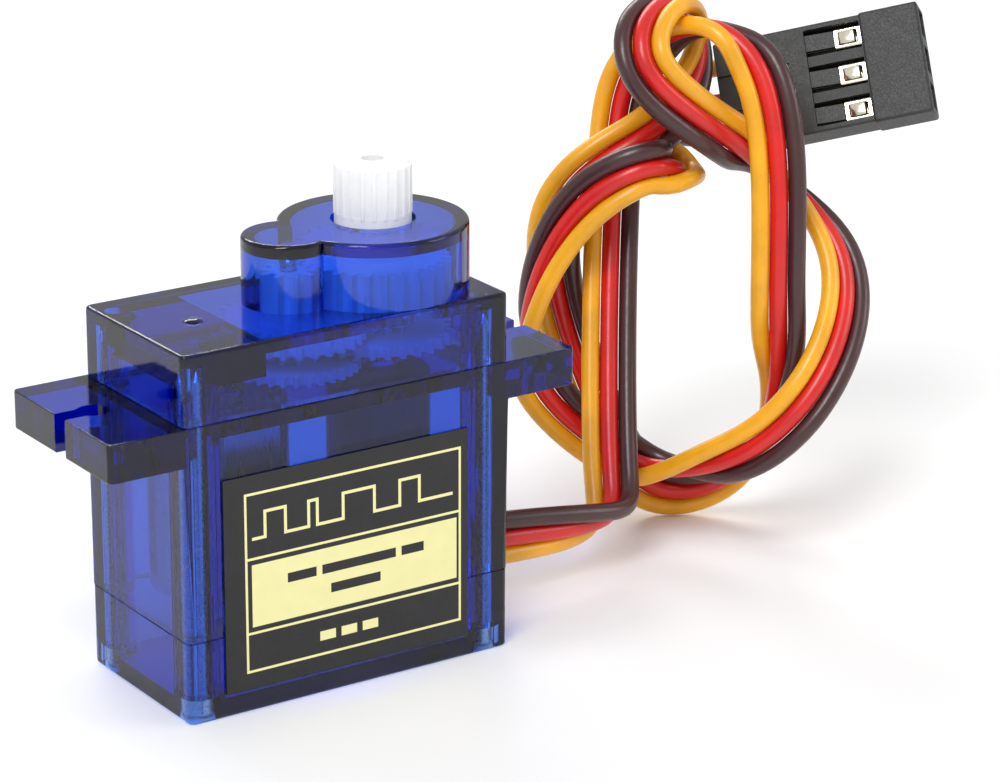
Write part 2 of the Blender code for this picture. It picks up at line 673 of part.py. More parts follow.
def make_grommet(mats):
    bm = bmesh.new()
    inner = CASE_LENGTH / 2 - WALL - 0.5
    low = LEAD_HEIGHT - GROMMET_HALF_HEIGHT
    high = LEAD_HEIGHT + GROMMET_HALF_HEIGHT
    add_box(bm, (inner, -GROMMET_HALF_WIDTH, low), (CASE_LENGTH / 2 + 0.2, GROMMET_HALF_WIDTH, high))
    grommet = finish_object("cable_grommet", bm, mats["black"])
    bm = bmesh.new()
    half = WIRE_DIAMETER / 2 + 0.15
    tall = WIRE_PITCH + half
    add_box(bm, (inner - 1, -half, LEAD_HEIGHT - tall), (CASE_LENGTH / 2 + 1, half, LEAD_HEIGHT + tall))
    boolean(grommet, "DIFFERENCE", add_helper("grommet_passage", bm))


def natural_spline(values, knots, at):
    """Values of the natural cubic spline through (knots, values)."""
    count = len(knots)
    gaps = np.diff(knots)
    system = np.eye(count)
    right = np.zeros(values.shape)
    for i in range(1, count - 1):
        system[i, i - 1 : i + 2] = gaps[i - 1], 2 * (gaps[i - 1] + gaps[i]), gaps[i]
        slopes = (values[i + 1] - values[i]) / gaps[i] - (values[i] - values[i - 1]) / gaps[i - 1]
        right[i] = 6 * slopes
    bends = np.linalg.solve(system, right)
    spans = np.clip(np.searchsorted(knots, at, side="right") - 1, 0, count - 2)
    gap = gaps[spans][:, None]
    left = (knots[spans + 1] - at)[:, None] / gap
    rest = 1 - left
    curve = left * values[spans] + rest * values[spans + 1]
    return curve + ((left**3 - left) * bends[spans] + (rest**3 - rest) * bends[spans + 1]) * gap**2 / 6


def gathered(values, knots, count):
    """Places along the spline, closer together where it bends more."""
    fine = np.linspace(0, knots[-1], 2000)
    curve = natural_spline(values, knots, fine)
    steps = np.diff(curve, axis=0)
    lengths = np.linalg.norm(steps, axis=1)
    directions = steps / lengths[:, None]
    turns = np.linalg.norm(np.diff(directions, axis=0), axis=1)
    weight = lengths[1:] + TURN_WEIGHT * turns
    reach = np.concatenate([[0, 0], np.cumsum(weight)])
    return np.interp(np.linspace(0, reach[-1], count), reach, fine)


def wire_paths(count):
    """The three wires' centre lines, yellow, red and brown, with count points each."""
    middle = np.array([point for point, _ in LEAD_ROUTE])
    across = np.array([side for _, side in LEAD_ROUTE])
    across /= np.linalg.norm(across, axis=1)[:, None]
    spread = np.ones(len(middle))
    spread[-len(LEAD_SPREAD) :] = LEAD_SPREAD
    steps = np.sqrt(np.linalg.norm(np.diff(middle, axis=0), axis=1))
    knots = np.concatenate([[0.0], np.cumsum(steps)])
    at = gathered(middle, knots, count)
    centre = natural_spline(middle, knots, at)
    side = natural_spline(across, knots, at)
    along = natural_spline(middle, knots, at + 1e-4) - natural_spline(middle, knots, at - 1e-4)
    along /= np.linalg.norm(along, axis=1)[:, None]
    side -= (side * along).sum(axis=1)[:, None] * along
    side /= np.linalg.norm(side, axis=1)[:, None]
    reach = np.interp(at, knots, spread)[:, None] * WIRE_PITCH
    return [centre + side * reach * row for row in (1, 0, -1)]


def add_tube(name, points, diameter, mat, resolution=2):
    curve = bpy.data.curves.new(name, "CURVE")
    curve.dimensions = "3D"
    curve.bevel_depth = diameter / 2 * MM
    curve.bevel_resolution = resolution
    curve.use_fill_caps = True
    spline = curve.splines.new("POLY")
    spline.points.add(len(points) - 1)
    for target, point in zip(spline.points, points):
        target.co = (*(Vector(point) * MM), 1.0)
    curve.materials.append(mat)
    obj = bpy.data.objects.new(name, curve)
    bpy.context.scene.collection.objects.link(obj)


def make_lead(mats):
    for color, path in zip(("yellow", "red", "brown"), wire_paths(WIRE_POINTS)):
        add_tube("wire_" + color, path, WIRE_DIAMETER, mats[color])


def make_inner_leads(mats):
    """The short leads from the circuit board to the motor and the potentiometer."""
    for number, side in enumerate((-1, 1), 1):
        y = side * TERMINAL_Y
        route = [(BOARD_X - 0.3, y * 1.6, 8.4), (5.2, y * 1.65, 7.4), (1.5, y * 1.6, 4.6)]
        route += [(-2.4, y * 1.3, 3.7), (-4.4, y, 3.9), (MOTOR_X, y, CAN_BOTTOM - 2.5)]
        knots = np.arange(len(route), dtype=float)
        smooth = natural_spline(np.array(route), knots, np.linspace(0, len(route) - 1, 12))
        add_tube("motor_lead_%d" % number, smooth, 0.6, mats["red" if side > 0 else "black"], 1)
    for number, y in enumerate((-1.2, 0.0, 1.2), 1):
        route = [(BOARD_X + 0.4, y, BOARD_TOP + 0.3), (BOARD_X + 0.2, y, BOARD_TOP + 0.7)]
        route += [(BOARD_X - 0.2, y, POT_BOTTOM - 0.45), (BOARD_X - 0.9, y, POT_BOTTOM - 0.4)]
        add_tube("pot_lead_%d" % number, route, 0.5, mats["tan"], 1)


def make_connector(mats):
    """The three-way female connector on the lead's end, along its own X axis."""
    along = Vector(CONNECTOR_AXIS).normalized()
    down = Vector(CONNECTOR_DOWN)
    down = (down - along * down.dot(along)).normalized()
    away = along.cross(down)
    frame = Matrix((along, down, away)).transposed().to_4x4()
    holder = empty("connector", CONNECTOR_REAR)
    holder.matrix_world = Matrix.Translation(Vector(CONNECTOR_REAR) * MM) @ frame

    half_width = CONNECTOR_WIDTH / 2
    half_thick = CONNECTOR_THICKNESS / 2
    bm = bmesh.new()
    add_box(bm, (0, -half_width, -half_thick), (CONNECTOR_LENGTH, half_width, half_thick))
    bmesh.ops.bevel(bm, geom=list(bm.edges), offset=0.2, segments=2, affect="EDGES")
    housing = finish_object("connector_housing", bm, mats["black"], holder)
    for row in (-1, 0, 1):
        y = row * CONTACT_PITCH
        label = "%d" % (row + 2)
        bm = bmesh.new()
        half = CAVITY_WIDTH / 2
        tall = CAVITY_HEIGHT / 2
        add_box(bm, (-1, y - half, -tall), (CONNECTOR_LENGTH + 1, y + half, tall))
        boolean(housing, "DIFFERENCE", add_helper("cavity_" + label, bm, holder))
        bm = bmesh.new()
        add_box(bm, (WINDOW_FROM, y - half + 0.1, -half_thick - 1), (WINDOW_TO, y + half - 0.1, -0.2))
        boolean(housing, "DIFFERENCE", add_helper("window_" + label, bm, holder))
        bm = bmesh.new()
        profile = [(1.4, -0.55), (5.0, -0.55), (5.4, -0.65), (12.9, -0.65), (12.9, 0.65), (5.4, 0.65)]
        profile += [(5.0, 0.55), (1.4, 0.55)]
        add_prism(bm, profile, y - 0.75, y + 0.75, axis="Y")
        contact = finish_object("connector_contact_" + label, bm, mats["contact"], holder)
        bm = bmesh.new()
        add_box(bm, (8.9, y - 0.4, -0.4), (13.5, y + 0.4, 0.4))
        boolean(contact, "DIFFERENCE", add_helper("socket_" + label, bm, holder))


def main():
    clear_scene()
    mats = {
        "blue": material("translucent_blue", (0.02, 0.06, 0.55), 0.12),
        "nylon": material("white_nylon", (0.88, 0.88, 0.86), 0.35),
        "white": material("white_plastic", (0.8, 0.8, 0.76), 0.5),
        "steel": material("steel", (0.62, 0.62, 0.62), 0.3, 1.0),
        "brass": material("brass", (0.75, 0.56, 0.25), 0.3, 1.0),
        "contact": material("tinned_contact", (0.85, 0.78, 0.6), 0.22, 1.0),
        "magnet": material("ferrite_magnet", (0.08, 0.08, 0.09), 0.6),
        "board": material("circuit_board_green", (0.03, 0.2, 0.08), 0.4),
        "pot_green": material("potentiometer_shell", (0.05, 0.12, 0.16), 0.4),
        "tan": material("ceramic_tan", (0.55, 0.4, 0.25), 0.5),
        "black": material("black_plastic", (0.02, 0.02, 0.02), 0.45),
        "yellow": material("yellow_wire", (0.85, 0.4, 0.0), 0.35),
        "red": material("red_wire", (0.65, 0.01, 0.01), 0.35),
        "brown": material("brown_wire", (0.06, 0.02, 0.02), 0.35),
    }
    axes = {
        "motor": empty("motor_axis", (MOTOR_X, 0, 0)),
        "gear_1": empty("gear_1_axis", (IDLER_X, 0, 0)),
        "gear_2": empty("gear_2_axis", (OUTPUT_X, 0, 0)),
        "gear_3": empty("gear_3_axis", (IDLER_X, 0, 0)),
        "output": empty("output_axis", (OUTPUT_X, 0, 0)),
    }
    make_case(mats["blue"])
    make_screws(mats["steel"])
    make_gears(mats["nylon"], mats["steel"], mats["brass"], axes)
    make_motor(mats, axes)
    make_potentiometer(mats, axes)
    make_board(mats)
    make_inner_leads(mats)
    make_label(mats)
    make_grommet(mats)
    make_lead(mats)
    make_connector(mats)


main()
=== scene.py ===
"""Looks of a hobby servo motor: translucent blue case, white output shaft, label, ribbon lead.

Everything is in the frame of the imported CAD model: origin at the centre of the case's underside,
+Z along the output shaft, +X towards the lead, -Y the side with the label. Dimensions in the code
are millimetres and are multiplied by MM where Blender takes metres.
"""

import math

import bmesh
import bpy
import numpy as np
from mathutils import Matrix, Vector


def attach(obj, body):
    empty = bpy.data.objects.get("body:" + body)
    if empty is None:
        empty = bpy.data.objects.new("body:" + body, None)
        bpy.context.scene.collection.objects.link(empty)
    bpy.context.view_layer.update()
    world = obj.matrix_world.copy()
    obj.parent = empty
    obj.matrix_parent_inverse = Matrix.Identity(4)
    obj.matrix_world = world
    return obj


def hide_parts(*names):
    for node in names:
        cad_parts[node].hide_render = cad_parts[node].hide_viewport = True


MM = 0.001

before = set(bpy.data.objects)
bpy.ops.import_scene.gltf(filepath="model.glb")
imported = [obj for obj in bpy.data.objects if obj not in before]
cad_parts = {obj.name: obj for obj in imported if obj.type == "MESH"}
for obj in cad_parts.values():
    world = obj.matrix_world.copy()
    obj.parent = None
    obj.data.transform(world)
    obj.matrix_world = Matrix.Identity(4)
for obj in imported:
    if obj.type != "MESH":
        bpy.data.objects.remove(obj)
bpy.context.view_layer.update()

# Case
CASE_LENGTH = 22.6
CASE_WIDTH = 12.0
CASE_HEIGHT = 23.0
BOTTOM_HEIGHT = 5.2
WALL = 1.0
SEAM = 0.05
EAR_SPAN = 32.4
EAR_TOP = 18.6
EAR_THICKNESS = 2.4
EAR_HOLE_X = 14.0
EAR_HOLE_RADIUS = 1.0
EAR_SLOT_WIDTH = 1.3
DECK_THICKNESS = 1.2
COVER_THICKNESS = 1.0
SCREW_X = 9.95
SCREW_Y = 4.65
SCREW_RADIUS = 0.5
COLUMN_RADIUS = 1.35
BOSS_TOP = 27.2
BOSS_RADIUS = 5.85
LOBE_RADIUS = 2.85
BOSS_WALL = 0.85
OUTPUT_X = 5.4
IDLER_X = -0.6
MOTOR_X = -5.5

# Output shaft and the gear on it
SPLINE_TOP = 31.0
SPLINE_RADIUS = 2.4
SPLINE_ROOT = 2.34
SPLINE_TEETH = 21
GEAR_TEETH = 30
GEAR_MODULE = 0.3

# Lead
WIRE_DIAMETER = 1.2
WIRE_PITCH = 1.22
WIRE_POINTS = 420
LEAD_HEIGHT = 4.6

# Middle wire of the lead, and the direction from it to the yellow wire at each point
LEAD_ROUTE = [
    # inside the case and straight out of it
    ((8.4, 0, 4.6), (0, 0, -1)),
    ((12.5, 0, 4.6), (0, 0, -1)),
    # along the floor, and up at the first corner
    ((20, 0, 4), (0.5, 0.5, -1)),
    ((24, 1, 4), (-0.5, 1, -0.5)),
    ((25.5, 3, 6.5), (-1, 1, 0)),
    # up the left leg, leaning back
    ((31, 10.5, 25), (-1, 0.5, 0)),
    # over the top towards the front
    ((32.5, 10.5, 30.5), (-1, 0.5, 1)),
    ((34, 6, 34), (-1, -1, 0.5)),
    ((36, 1.5, 31.5), (-1, 0.5, 0)),
    # down the right leg
    ((35.5, -1.5, 18), (-1, 0.5, 0)),
    ((36.5, 0, 9), (0.5, 1, 0.5)),
    # along the floor to the left, behind
    ((35.5, 4, 3), (1, 0, -0.5)),
    ((32.5, 7, 2), (0, 0, -1)),
    ((30, 8.5, 5), (-1, 0, -1)),
    # up the rear left
    ((27, 10.5, 14), (-1, 1, -0.5)),
    ((26.5, 10.5, 21.5), (-1, 1, 0.5)),
    ((29, 9, 25), (-0.5, 0.5, 1)),
    ((32.5, 8, 27), (-0.5, 0.5, 1)),
    # round the small loop at the top
    ((36.5, 9, 30.5), (-1, -0.5, 0.5)),
    ((36.5, 9.5, 33.5), (-0.5, -1, 0)),
    ((33, 7.5, 35.5), (0, -1, 0)),
    ((29.5, 5.5, 34.5), (1, -1, 0)),
    ((29, 4, 32), (1, -0.5, 0.5)),
    # behind the right leg and down the outside
    ((34, 3, 27.5), (1, 0, 1)),
    ((38, 3, 24.5), (-0.5, -1, 0.5)),
    ((40.5, -0.5, 20.5), (-1, -0.5, 0)),
    ((39.5, -3.5, 16.5), (-1, 0, 0)),
    ((36, -5, 12), (-1, 0.5, 0.5)),
    ((32.5, -2.5, 7.5), (-0.5, 0.5, 1)),
    # along the bottom to the left, turning over
    ((30, 3.5, 5), (-1, -1, 0)),
    ((28.5, 5.5, 5.5), (-0.5, -0.5, -1)),
    # up the outer left
    ((24.5, 8.5, 9.5), (-1, 0.5, -1)),
    ((23.5, 9.5, 15), (-0.5, -1, 0)),
    ((26, 7, 23), (0.5, -1, -1)),
    # through the middle and back to the connector
    ((30, 4.5, 25.5), (0.5, 0, -1)),
    ((33.5, 7, 24), (1, -0.5, 0)),
    ((34, 10.5, 24.5), (-0.5, 0, 1)),
    ((36.5, 13, 26), (0, 0, 1)),
    ((39, 10.9, 27), (0.2, 0.5, 0.8)),
    ((40.3, 9.6, 27.4), (0.2, 0.5, 0.8)),
]
# The wires fan out to the connector's pitch over the last points of the route
LEAD_SPREAD = [1.0, 1.3, 2.0, 2.08]
# Length of each wire, in metres
LEAD_LENGTHS = {"yellow": 0.236, "red": 0.234, "brown": 0.242}

# Connector
CONNECTOR_REAR = (39.7, 10.2, 27.2)
CONNECTOR_AXIS = (0.70, -0.67, 0.25)
CONNECTOR_DOWN = (-0.19, -0.51, -0.84)
CONNECTOR_LENGTH = 14.0
CONNECTOR_WIDTH = 7.7
CONNECTOR_THICKNESS = 2.6
CONTACT_PITCH = 2.54
WINDOW_FROM = 6.2
WINDOW_TO = 10.0

# Label, and the frame printed on it
LABEL_X = (-8.9, 8.2)
LABEL_Z = (1.5, 15.0)
LABEL_LIFT = 0.15
LABEL_FILM = 0.12
PRINT_X = (-7.5, 7.7)
PRINT_Z = (2.55, 13.9)
PRINT_LINE = 0.16
PULSE_LINE = 0.2
BLACK = 0
CREAM = 1

# Pieces that keep the CAD's shape, by material
PAINT = {
    "zinc": ["case_screw_1", "case_screw_2", "case_screw_3", "case_screw_4", "gear_pin"],
    "steel": ["motor_can", "motor_armature"],
    "white": ["motor_end_cap"],
    "magnet": ["motor_magnet_1", "motor_magnet_2"],
    "brass": [
        "motor_brush_1",
        "motor_brush_2",
        "motor_terminal_1",
        "motor_terminal_2",
        "motor_pinion",
    ],
    "nylon": ["gear_1", "gear_2", "gear_3"],
    "shell": ["potentiometer_body"],
    "board": ["circuit_board", "potentiometer_track"],
    "chip": ["control_chip", "board_resistor", "board_transistor"],
    "ceramic": ["board_capacitor"],
    "tinned": ["pot_lead_1", "pot_lead_2", "pot_lead_3", "potentiometer_wiper"],
    "rubber": ["cable_grommet"],
    "red": ["motor_lead_2"],
    "brown": ["motor_lead_1"],
}

# Floor
FLOOR_REACH = 2500
FLOOR_TOP = -0.02
FLOOR_BASE = -5

# Camera: its place, and the degrees that it is turned from +Y towards +X and looks down
CAMERA_PLACE = (-111, -185.5, 91.5)
CAMERA_TURN = 33.5
CAMERA_DOWN = 18.2
CAMERA_LENS = 136
CAMERA_SHIFT = (0.039, -0.053)


# ---------------------------------------------------------------- camera


def make_camera():
    data = bpy.data.cameras.new("camera")
    data.sensor_width = 36.0
    data.lens = CAMERA_LENS
    data.shift_x, data.shift_y = CAMERA_SHIFT
    data.clip_start = 0.01
    data.clip_end = 10.0
    camera = bpy.data.objects.new("camera", data)
    bpy.context.scene.collection.objects.link(camera)
    camera.location = Vector(CAMERA_PLACE) * MM
    tilt = math.radians(90 - CAMERA_DOWN)
    camera.rotation_euler = (tilt, 0.0, -math.radians(CAMERA_TURN))
    bpy.context.scene.camera = camera


# ---------------------------------------------------------------- shapes


def finish_object(name, bm, mats=(), smooth_angle=35.0, weighted=False):
    """Turn a bmesh in millimetres into an object in metres."""
    bmesh.ops.scale(bm, vec=(MM, MM, MM), verts=bm.verts)
    bmesh.ops.recalc_face_normals(bm, faces=bm.faces)
    mesh = bpy.data.meshes.new(name)
    bm.to_mesh(mesh)
    bm.free()
    for mat in mats:
        mesh.materials.append(mat)
    obj = bpy.data.objects.new(name, mesh)
    bpy.context.scene.collection.objects.link(obj)
    smooth(obj, smooth_angle, weighted)
    return obj


def smooth(obj, smooth_angle=35.0, weighted=False):
    obj.data.shade_smooth()
    obj.data.set_sharp_from_angle(angle=math.radians(smooth_angle))
    if weighted:
        modifier = obj.modifiers.new("weighted_normal", "WEIGHTED_NORMAL")
        modifier.keep_sharp = True


def apply_modifiers(obj):
    graph = bpy.context.evaluated_depsgraph_get()
    mesh = bpy.data.meshes.new_from_object(obj.evaluated_get(graph))
    obj.modifiers.clear()
    obj.data = mesh


def combine(obj, steps):
    """Boolean steps of (operation, bmesh) on obj, applied."""
    helpers = []
    for operation, bm in steps:
        helper = finish_object(obj.name + "_tool", bm)
        modifier = obj.modifiers.new("boolean", "BOOLEAN")
        modifier.operation = operation
        modifier.solver = "EXACT"
        modifier.object = helper
        helpers.append(helper)
    apply_modifiers(obj)
    for helper in helpers:
        bpy.data.objects.remove(helper, do_unlink=True)


def add_prism(bm, outline, low, high, axis="Z"):
    """Extrude a closed outline of (x, y) points along Z, or of (x, z) points along Y; returns its faces."""
    before = set(bm.faces)
    if axis == "Z":
        verts = [bm.verts.new((x, y, low)) for x, y in outline]
        step = (0, 0, high - low)
    else:
        verts = [bm.verts.new((x, low, z)) for x, z in outline]
        step = (0, high - low, 0)
    made = bmesh.ops.extrude_face_region(bm, geom=[bm.faces.new(verts)])
    moved = [item for item in made["geom"] if isinstance(item, bmesh.types.BMVert)]
    bmesh.ops.translate(bm, vec=step, verts=moved)
    return [face for face in bm.faces if face not in before]


def add_box(bm, low, high):
    outline = [(low[0], low[1]), (high[0], low[1]), (high[0], high[1]), (low[0], high[1])]
    return add_prism(bm, outline, low[2], high[2])


def circle(radius, segments, centre=(0.0, 0.0)):
    turns = [2 * math.pi * i / segments for i in range(segments)]
    return [(centre[0] + radius * math.cos(a), centre[1] + radius * math.sin(a)) for a in turns]


def add_cylinder(bm, radius, low, high, segments=48, centre=(0.0, 0.0)):
    return add_prism(bm, circle(radius, segments, centre), low, high)


def add_turned(bm, profile, segments=64, centre=(0.0, 0.0)):
    """Turn a profile of (radius, z) points round Z; it starts and ends on the axis."""
    rings = []
    for radius, z in profile:
        if radius == 0:
            rings.append([bm.verts.new((centre[0], centre[1], z))])
        else:
            rings.append([bm.verts.new((x, y, z)) for x, y in circle(radius, segments, centre)])
    for lower, upper in zip(rings, rings[1:]):
        for i in range(segments):
            j = (i + 1) % segments
            ring = [lower[i % len(lower)], lower[j % len(lower)]]
            ring += [upper[j % len(upper)], upper[i % len(upper)]]
            bm.faces.new(list(dict.fromkeys(ring)))


def round_edges(bm, width, chosen, segments=3):
    """Bevel the edges for which chosen(edge) is true."""
    edges = [edge for edge in bm.edges if chosen(edge)]
    bmesh.ops.bevel(
        bm,
        geom=edges,
        offset=width,
        segments=segments,
        profile=0.5,
        affect="EDGES",
        clamp_overlap=True,
    )


def upright(edge):
    along = edge.verts[0].co - edge.verts[1].co
    return abs(along.x) < 1e-5 and abs(along.y) < 1e-5


def level_at(height):
    return lambda edge: all(abs(vert.co.z - height) < 1e-5 for vert in edge.verts)


def sharp(edge):
    return edge.is_manifold and edge.calc_face_angle(0.0) > math.radians(30)


def cavity_outline(grow=0.0):
    """The inside of the case in plan: a rectangle with a screw column left in each corner."""
    inner_x = CASE_LENGTH / 2 - WALL + grow
    inner_y = CASE_WIDTH / 2 - WALL + grow
    radius = COLUMN_RADIUS - grow
    start = math.asin((inner_x - SCREW_X) / radius)
    end = math.asin((inner_y - SCREW_Y) / radius)
    quarter = []
    for step in range(13):
        angle = -math.pi / 2 + start - (math.pi / 2 + start + end) * step / 12
        quarter.append((SCREW_X + radius * math.cos(angle), SCREW_Y + radius * math.sin(angle)))
    outline = list(quarter)
    outline += [(-x, y) for x, y in reversed(quarter)]
    outline += [(-x, -y) for x, y in quarter]
    outline += [(x, -y) for x, y in reversed(quarter)]
    return outline


def boss_outline(shrink=0.0, steps=96):
    """The figure that the output circle and the smaller idler lobe make together, in plan."""
    big = BOSS_RADIUS - shrink
    small = LOBE_RADIUS - shrink
    apart = OUTPUT_X - IDLER_X
    reach = (big**2 - small**2 + apart**2) / (2 * apart)
    turn_big = math.acos(reach / big)
    turn_small = math.acos((apart - reach) / small)
    points = []
    for step in range(steps + 1):
        angle = math.pi + turn_big + (2 * math.pi - 2 * turn_big) * step / steps
        points.append((OUTPUT_X + big * math.cos(angle), big * math.sin(angle)))
    small_steps = steps // 3
    for step in range(1, small_steps):
        angle = turn_small + (2 * math.pi - 2 * turn_small) * step / small_steps
        points.append((IDLER_X + small * math.cos(angle), small * math.sin(angle)))
    return points


def tool(*shapes):
    """A bmesh made by calling each (function, arguments...) on it."""
    bm = bmesh.new()
    for make, *arguments in shapes:
        make(bm, *arguments)
    return bm


def corners():
    return [(sx * SCREW_X, sy * SCREW_Y) for sx in (-1, 1) for sy in (-1, 1)]


# ---------------------------------------------------------------- materials


def new_material(name):
    mat = bpy.data.materials.new(name)
    mat.use_nodes = True
    tree = mat.node_tree
    return mat, tree, tree.nodes["Principled BSDF"]


def add_noise(tree, scale, detail=3.0, stretch=(1.0, 1.0, 1.0), roughness=0.5):
    """Noise in object space; scale counts features per metre."""
    place = tree.nodes.new("ShaderNodeTexCoord")
    mapping = tree.nodes.new("ShaderNodeMapping")
    mapping.inputs["Scale"].default_value = stretch
    noise = tree.nodes.new("ShaderNodeTexNoise")
    noise.inputs["Scale"].default_value = scale
    noise.inputs["Detail"].default_value = detail
    noise.inputs["Roughness"].default_value = roughness
    tree.links.new(place.outputs["Object"], mapping.inputs["Vector"])
    tree.links.new(mapping.outputs["Vector"], noise.inputs["Vector"])
    return noise.outputs["Fac"]


def add_ramp(tree, factor, stops):
    """A colour ramp; stops are (position, colour or grey)."""
    ramp = tree.nodes.new("ShaderNodeValToRGB")
    elements = ramp.color_ramp.elements
    while len(elements) < len(stops):
        elements.new(0.5)
    for element, (position, value) in zip(elements, stops):
        color = (value, value, value) if isinstance(value, float) else value
        element.position = position
        element.color = (*color, 1.0)
    tree.links.new(factor, ramp.inputs["Fac"])
    return ramp.outputs["Color"]


def add_bump(tree, shader, height, distance, strength=0.5):
    bump = tree.nodes.new("ShaderNodeBump")
    bump.inputs["Distance"].default_value = distance * MM
    bump.inputs["Strength"].default_value = strength
    tree.links.new(height, bump.inputs["Height"])
    tree.links.new(bump.outputs["Normal"], shader.inputs["Normal"])


def shade(color, factor):
    return tuple(min(1.0, channel * factor) for channel in color)


def surface(
    name,
    color,
    roughness,
    metallic=0.0,
    vary=0.12,
    size=1.2,
    grain=0.15,
    bump=0.01,
    stretch=(1, 1, 1),
):
    """A surface with soft colour clouds, uneven gloss and a fine grain; size and grain in mm."""
    mat, tree, shader = new_material(name)
    clouds = add_noise(tree, 1000 / size, 4.0)
    color_socket = add_ramp(tree, clouds, [(0.3, shade(color, 1 - vary)), (0.7, shade(color, 1 + vary))])
    tree.links.new(color_socket, shader.inputs["Base Color"])
    fine = add_noise(tree, 1000 / grain, 2.0, stretch)
    gloss = add_ramp(tree, fine, [(0.3, roughness * 0.8), (0.75, min(1.0, roughness * 1.3))])
    tree.links.new(gloss, shader.inputs["Roughness"])
    shader.inputs["Metallic"].default_value = metallic
    add_bump(tree, shader, fine, bump)
    return mat


def case_material():
    """Clear blue plastic: it absorbs light inside, so thick places and edges are darker."""
    mat, tree, shader = new_material("translucent_blue")
    shader.inputs["Base Color"].default_value = (0.80, 0.88, 1.0, 1.0)
    shader.inputs["Transmission Weight"].default_value = 1.0
    shader.inputs["IOR"].default_value = 1.49
    flow = add_noise(tree, 450, 3.0, (1.0, 1.0, 0.35))
    gloss = add_ramp(tree, flow, [(0.35, 0.035), (0.7, 0.09)])
    tree.links.new(gloss, shader.inputs["Roughness"])
    add_bump(tree, shader, flow, 0.03, 0.25)
    absorb = tree.nodes.new("ShaderNodeVolumeAbsorption")
    absorb.inputs["Color"].default_value = (0.01, 0.42, 0.86, 1.0)
    absorb.inputs["Density"].default_value = 1900.0
    output = tree.nodes["Material Output"]
    tree.links.new(absorb.outputs["Volume"], output.inputs["Volume"])
    clear = tree.nodes.new("ShaderNodeBsdfTransparent")
    clear.inputs["Color"].default_value = (0.85, 0.90, 1.0, 1.0)
    path = tree.nodes.new("ShaderNodeLightPath")
    mix = tree.nodes.new("ShaderNodeMixShader")
    tree.links.new(path.outputs["Is Shadow Ray"], mix.inputs["Fac"])
    tree.links.new(shader.outputs["BSDF"], mix.inputs[1])
    tree.links.new(clear.outputs["BSDF"], mix.inputs[2])
    tree.links.new(mix.outputs["Shader"], output.inputs["Surface"])
    return mat


def wire_material(name, color):
    """Glossy soft insulation with faint colour clouds and an uneven gloss."""
    mat, tree, shader = new_material(name)
    clouds = add_noise(tree, 350, 4.0)
    socket = add_ramp(tree, clouds, [(0.3, shade(color, 0.86)), (0.7, shade(color, 1.1))])
    tree.links.new(socket, shader.inputs["Base Color"])
    fine = add_noise(tree, 2600, 3.0)
    gloss = add_ramp(tree, fine, [(0.3, 0.30), (0.7, 0.44)])
    tree.links.new(gloss, shader.inputs["Roughness"])
    shader.inputs["Subsurface Weight"].default_value = 0.12
    shader.inputs["Subsurface Radius"].default_value = (0.0006, 0.0003, 0.0001)
    shader.inputs["Coat Weight"].default_value = 0.25
    shader.inputs["Coat Roughness"].default_value = 0.22
    add_bump(tree, shader, fine, 0.02, 0.3)
    return mat


def nylon_material():
    """White nylon: milky, a little light passes through it."""
    mat, tree, shader = new_material("white_nylon")
    clouds = add_noise(tree, 700, 3.0)
    socket = add_ramp(tree, clouds, [(0.3, (0.86, 0.87, 0.87)), (0.7, (0.93, 0.935, 0.93))])
    tree.links.new(socket, shader.inputs["Base Color"])
    fine = add_noise(tree, 6000, 2.0)
    gloss = add_ramp(tree, fine, [(0.3, 0.34), (0.7, 0.46)])
    tree.links.new(gloss, shader.inputs["Roughness"])
    shader.inputs["Subsurface Weight"].default_value = 0.35
    shader.inputs["Subsurface Radius"].default_value = (0.0010, 0.0010, 0.0010)
    add_bump(tree, shader, fine, 0.006, 0.4)
    return mat


def board_material():
    """Green lacquer with the tracks below it as lighter lines."""
    mat, tree, shader = new_material("circuit_board")
    place = tree.nodes.new("ShaderNodeTexCoord")
    brick = tree.nodes.new("ShaderNodeTexBrick")
    brick.inputs["Scale"].default_value = 420.0
    brick.inputs["Mortar Size"].default_value = 0.05
    brick.inputs["Color1"].default_value = (0.012, 0.10, 0.035, 1.0)
    brick.inputs["Color2"].default_value = (0.015, 0.13, 0.045, 1.0)
    brick.inputs["Mortar"].default_value = (0.05, 0.24, 0.09, 1.0)
    turn = tree.nodes.new("ShaderNodeMapping")
    turn.inputs["Rotation"].default_value = (0.0, math.pi / 2, 0.0)
    tree.links.new(place.outputs["Object"], turn.inputs["Vector"])
    tree.links.new(turn.outputs["Vector"], brick.inputs["Vector"])
    tree.links.new(brick.outputs["Color"], shader.inputs["Base Color"])
    shader.inputs["Roughness"].default_value = 0.32
    add_bump(tree, shader, brick.outputs["Fac"], 0.03)
    return mat


